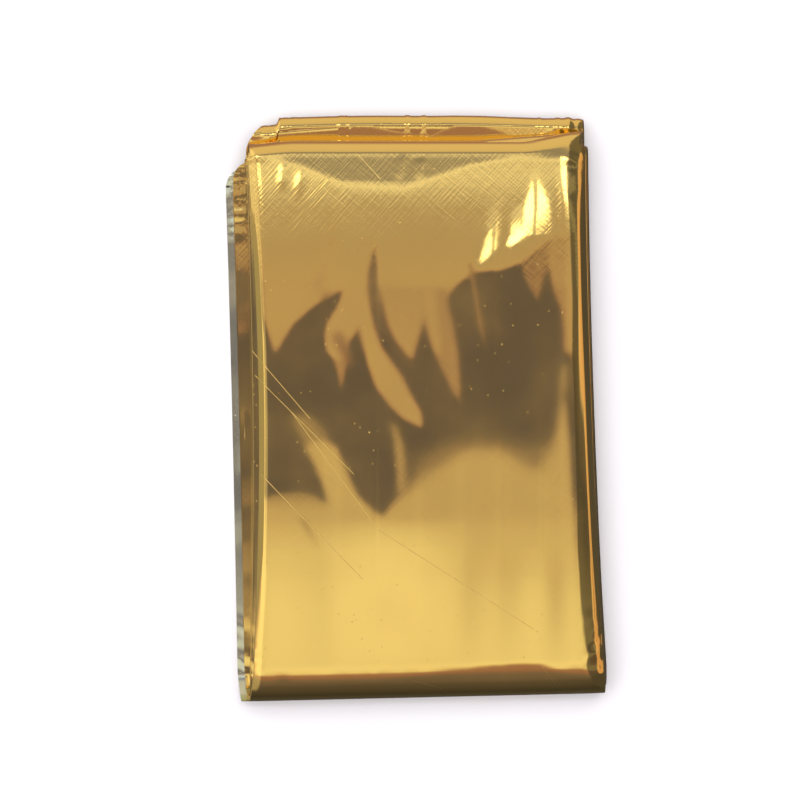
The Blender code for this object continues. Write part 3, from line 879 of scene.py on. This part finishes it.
def film_wear():
    """A group that gives the roughness and the scratched normal of handled film."""
    group = bpy.data.node_groups.new("film_wear", "ShaderNodeTree")
    group.interface.new_socket("Polish", in_out="INPUT", socket_type="NodeSocketFloat")
    group.interface.new_socket("Scratch Depth", in_out="INPUT", socket_type="NodeSocketFloat")
    group.interface.new_socket("Roughness", in_out="OUTPUT", socket_type="NodeSocketFloat")
    group.interface.new_socket("Normal", in_out="OUTPUT", socket_type="NodeSocketVector")
    given = group.nodes.new("NodeGroupInput")
    result = group.nodes.new("NodeGroupOutput")
    place = group.nodes.new("ShaderNodeTexCoord").outputs["Object"]
    total = 0.0
    for marks in FINE_MARKS:
        mapping = node(group, "ShaderNodeMapping", vector_type="TEXTURE")
        mapping.inputs["Rotation"].default_value = (0.0, 0.0, math.radians(marks.turn))
        mapping.inputs["Scale"].default_value = [1.0 / fineness for fineness in marks.fineness]
        noise = node(group, "ShaderNodeTexNoise")
        noise.inputs["Scale"].default_value = 1.0
        noise.inputs["Detail"].default_value = MARKS_DETAIL
        group.links.new(place, mapping.inputs["Vector"])
        group.links.new(mapping.outputs["Vector"], noise.inputs["Vector"])
        total = reckon(group, "MULTIPLY_ADD", noise.outputs["Fac"], marks.share, total)
    # Tiny pits where creases of the folded film crossed
    cells = node(group, "ShaderNodeTexVoronoi")
    cells.inputs["Scale"].default_value = PIT_SCALE
    group.links.new(place, cells.inputs["Vector"])
    pits = rise(group, cells.outputs["Distance"], PIT_SIZE, 0.0)
    # Long scratches across the front, each a line between two points
    parts = node(group, "ShaderNodeSeparateXYZ")
    group.links.new(place, parts.inputs["Vector"])
    lines = 0.0
    for scratch in LONG_SCRATCHES:
        lines = reckon(group, "MAXIMUM", lines, scratch_line(group, parts, scratch))
    on_front = reckon(group, "GREATER_THAN", parts.outputs["Z"], SCRATCHED_ABOVE * MM)
    lines = reckon(group, "MULTIPLY", lines, on_front)
    # The head of the front is scratched the most
    hatched = rise(group, parts.outputs["Y"], HATCHED_FROM * MM, HATCHED_TO * MM)
    total = reckon(group, "MULTIPLY", total, reckon(group, "MULTIPLY_ADD", hatched, HATCHED_MORE, 1.0))
    total = reckon(group, "MULTIPLY_ADD", pits, PIT_DEPTH, total)
    total = reckon(group, "MULTIPLY_ADD", lines, LINE_DEPTH, total)
    bump = node(group, "ShaderNodeBump")
    bump.inputs["Strength"].default_value = 1.0
    group.links.new(given.outputs["Scratch Depth"], bump.inputs["Distance"])
    group.links.new(total, bump.inputs["Height"])
    cloud = node(group, "ShaderNodeTexNoise")
    cloud.inputs["Scale"].default_value = CLOUD_SCALE
    cloud.inputs["Detail"].default_value = CLOUD_DETAIL
    group.links.new(place, cloud.inputs["Vector"])
    worn = node(group, "ShaderNodeMapRange")
    worn.inputs["From Min"].default_value = WORN_FROM
    worn.inputs["From Max"].default_value = WORN_TO
    worn.inputs["To Max"].default_value = WORN_ROUGHNESS
    group.links.new(cloud.outputs["Fac"], worn.inputs["Value"])
    rough = reckon(group, "ADD", given.outputs["Polish"], worn.outputs["Result"])
    rough = reckon(group, "MULTIPLY_ADD", lines, LINE_ROUGHNESS, rough)
    group.links.new(rough, result.inputs["Roughness"])
    group.links.new(bump.outputs["Normal"], result.inputs["Normal"])
    return group


wear = film_wear()


def film_material(name, colour, polish):
    """Bright metal film of one colour, with its wear."""
    material = bpy.data.materials.new(name)
    material.use_nodes = True
    tree = material.node_tree
    shader = tree.nodes["Principled BSDF"]
    shader.inputs["Base Color"].default_value = colour
    shader.inputs["Metallic"].default_value = 1.0
    shader.inputs["Coat Weight"].default_value = COAT_WEIGHT
    shader.inputs["Coat Roughness"].default_value = COAT_ROUGHNESS
    worn = node(tree, "ShaderNodeGroup", node_tree=wear)
    worn.inputs["Polish"].default_value = polish
    worn.inputs["Scratch Depth"].default_value = SCRATCH_DEPTH
    tree.links.new(worn.outputs["Roughness"], shader.inputs["Roughness"])
    tree.links.new(worn.outputs["Normal"], shader.inputs["Normal"])
    return material


blanket_mesh.materials.append(film_material("gold_film", GOLD_COLOUR, GOLD_POLISH))
blanket_mesh.materials.append(film_material("silver_film", SILVER_COLOUR, SILVER_POLISH))

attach(blanket, "root")
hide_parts("foil_blanket")

# The floor is plain and pale. The lamp over it is wide and soft, and lights the floor alone: the foil is lit
# by what it mirrors.
FLOOR_SIZE = 6.0
FLOOR_COLOUR, FLOOR_ROUGHNESS = (0.92, 0.92, 0.92, 1.0), 0.9
LAMP_SIZE, LAMP_HEIGHT, LAMP_WATTS = 2.4, 1.8, 36.0

bpy.ops.mesh.primitive_plane_add(size=FLOOR_SIZE)
floor = bpy.context.object
floor.name = "floor"
floor_material = bpy.data.materials.new("pale_floor")
floor_material.use_nodes = True
floor_shader = floor_material.node_tree.nodes["Principled BSDF"]
floor_shader.inputs["Base Color"].default_value = FLOOR_COLOUR
floor_shader.inputs["Roughness"].default_value = FLOOR_ROUGHNESS
floor_shader.inputs["Specular IOR Level"].default_value = 0.0
floor.data.materials.append(floor_material)
floor.visible_glossy = False

lamp_data = bpy.data.lights.new("soft_lamp", "AREA")
lamp_data.shape = "SQUARE"
lamp_data.size = LAMP_SIZE
lamp_data.energy = LAMP_WATTS
lamp = bpy.data.objects.new("soft_lamp", lamp_data)
lamp.location = (0.0, 0.0, LAMP_HEIGHT)
lamp.visible_glossy = False
bpy.context.scene.collection.objects.link(lamp)

# The studio round the packet. Going over from the foot's side to the head's, the foil mirrors a long white
# panel, the dark gap that the camera looks through, a dimmer warm panel and a soft white one by the head.
world = bpy.data.worlds.new("studio")
bpy.context.scene.world = world
world.use_nodes = True
sky = world.node_tree
background = sky.nodes["Background"]

# Brightness and colour at each angle from upright, in radians, close to the camera
NEAR_REACH = 0.16
NEAR_STOPS = (
    (-0.16, (0.93, 0.93, 0.98)), (-0.100, (0.80, 0.79, 0.83)), (-0.075, (0.70, 0.66, 0.69)),
    (-0.055, (0.62, 0.55, 0.55)), (-0.044, (0.50, 0.42, 0.44)), (-0.034, (0.28, 0.22, 0.28)),
    (-0.024, (0.13, 0.12, 0.17)), (0.0, (0.105, 0.10, 0.16)), (0.024, (0.13, 0.12, 0.17)),
    (0.034, (0.33, 0.20, 0.25)), (0.044, (0.46, 0.345, 0.38)), (0.056, (0.54, 0.455, 0.45)),
    (0.075, (0.51, 0.44, 0.44)), (0.10, (0.43, 0.375, 0.40)), (0.125, (0.43, 0.395, 0.45)),
    (0.16, (0.66, 0.68, 0.85)),
)
# The same in degrees, all the way round
ROUND_STOPS = (
    (-180, (0.10, 0.10, 0.10)), (-110, (0.05, 0.05, 0.06)), (-61, (0.11, 0.10, 0.14)),
    (-39, (0.20, 0.17, 0.24)), (-30, (0.30, 0.19, 0.23)), (-19, (0.38, 0.235, 0.28)),
    (-16, (0.50, 0.38, 0.40)), (-13, (0.74, 0.66, 0.66)), (-11, (0.93, 0.93, 0.98)),
    (-9.1, (0.93, 0.93, 0.98)), (9.1, (0.66, 0.68, 0.85)), (10.5, (0.84, 0.88, 1.12)),
    (13, (0.76, 0.80, 1.04)), (15.5, (0.38, 0.38, 0.56)), (17.5, (0.28, 0.29, 0.44)),
    (22.5, (0.28, 0.29, 0.44)), (26, (0.44, 0.42, 0.50)), (32, (0.68, 0.62, 0.62)),
    (60, (0.74, 0.67, 0.66)), (100, (0.74, 0.67, 0.66)), (120, (0.38, 0.24, 0.28)),
    (150, (0.30, 0.20, 0.22)), (180, (0.10, 0.10, 0.10)),
)


def sky_ramp(stops, low, high, value):
    """A ramp of colours over a value, with its stops at places between low and high."""
    spread = node(sky, "ShaderNodeMapRange")
    spread.inputs["From Min"].default_value = low
    spread.inputs["From Max"].default_value = high
    sky.links.new(value, spread.inputs["Value"])
    ramp = node(sky, "ShaderNodeValToRGB")
    elements = ramp.color_ramp.elements
    while len(elements) < len(stops):
        elements.new(0.5)
    for element, (place, colour) in zip(elements, stops):
        element.position = (place - low) / (high - low)
        element.color = (*colour, 1.0)
    sky.links.new(spread.outputs["Result"], ramp.inputs["Fac"])
    return ramp.outputs["Color"]


def sky_mix(share, first, second, **settings):
    """Two colours mixed by a share, or one added to the other."""
    mix = node(sky, "ShaderNodeMix", data_type="RGBA", **settings)
    for name, value in (("Factor", share), ("A", first), ("B", second)):
        if isinstance(value, (float, tuple)):
            mix.inputs[name].default_value = value
        else:
            sky.links.new(value, mix.inputs[name])
    return mix.outputs["Result"]


def band(value, begins, full, fades, ends):
    """1 from where it is full to where it fades, and 0 before it begins and past its end."""
    return reckon(sky, "MULTIPLY", rise(sky, value, begins, full), rise(sky, value, ends, fades))


directions = node(sky, "ShaderNodeTexCoord")
parts = node(sky, "ShaderNodeSeparateXYZ")
sky.links.new(directions.outputs["Generated"], parts.inputs["Vector"])
side, ahead, up = parts.outputs
turned = reckon(sky, "ARCTAN2", ahead, up)
near_colour = sky_ramp(NEAR_STOPS, -NEAR_REACH, NEAR_REACH, turned)
round_colour = sky_ramp(ROUND_STOPS, -180.0, 180.0, reckon(sky, "DEGREES", turned))
is_near = reckon(sky, "LESS_THAN", reckon(sky, "ABSOLUTE", turned), NEAR_REACH)
colour = sky_mix(is_near, round_colour, near_colour)

# Two small white panels over the head give the sharp highlights, and a wide dim one lights the left side. The
# limits of each are slopes from upright: where it begins, is full, fades and ends.
LEAST_UP = 0.01
PANEL_ACROSS, PANEL_ALONG = (0.08, 0.16, 0.48, 0.62), (0.14, 0.21, 0.27, 0.32)
PANEL_GAP, PANEL_STRENGTH = 0.04, 3.0
LEFT_BEGINS, LEFT_FULL, LEFT_STRENGTH = 0.45, 0.70, 0.28
above = reckon(sky, "MAXIMUM", up, LEAST_UP)
out_side = reckon(sky, "ABSOLUTE", reckon(sky, "DIVIDE", side, above))
out_ahead = reckon(sky, "DIVIDE", ahead, above)
panel_across = reckon(sky, "MULTIPLY_ADD", band(out_side, *PANEL_ACROSS), 1.0 - PANEL_GAP, PANEL_GAP)
head_panels = reckon(sky, "MULTIPLY", panel_across, band(out_ahead, *PANEL_ALONG))
left_side = rise(sky, reckon(sky, "MULTIPLY", side, -1.0), LEFT_BEGINS, LEFT_FULL)
left_panel = reckon(sky, "MULTIPLY", left_side, LEFT_STRENGTH)
panels = reckon(sky, "MULTIPLY_ADD", head_panels, PANEL_STRENGTH, left_panel)

# The studio is darker out to the right, and warm beyond that
DARK_RIGHT, DARK_COLOUR = (0.58, 0.80, 3.5, 5.0), (0.08, 0.08, 0.105, 1.0)
WARM_RIGHT, WARM_COLOUR = (4.0, 5.5, 25.0, 40.0), (0.80, 0.52, 0.42, 1.0)
RIGHT_STRENGTH = 0.85
squares = reckon(sky, "ADD", reckon(sky, "MULTIPLY", ahead, ahead), reckon(sky, "MULTIPLY", up, up))
flat_reach = reckon(sky, "MAXIMUM", reckon(sky, "SQRT", squares), LEAST_UP)
out_right = reckon(sky, "DIVIDE", side, flat_reach)
for limits, right_colour in ((DARK_RIGHT, DARK_COLOUR), (WARM_RIGHT, WARM_COLOUR)):
    share = reckon(sky, "MULTIPLY", band(out_right, *limits), RIGHT_STRENGTH)
    colour = sky_mix(share, colour, right_colour)
colour = sky_mix(1.0, colour, panels, blend_type="ADD")

# Past the floor the camera itself sees plain white
SEEN_COLOUR = (0.93, 0.93, 0.93, 1.0)
seen_by = node(sky, "ShaderNodeLightPath")
colour = sky_mix(seen_by.outputs["Is Camera Ray"], colour, SEEN_COLOUR)
sky.links.new(colour, background.inputs["Color"])
background.inputs["Strength"].default_value = 1.0
bpy.context.scene.view_settings.view_transform = "Standard"
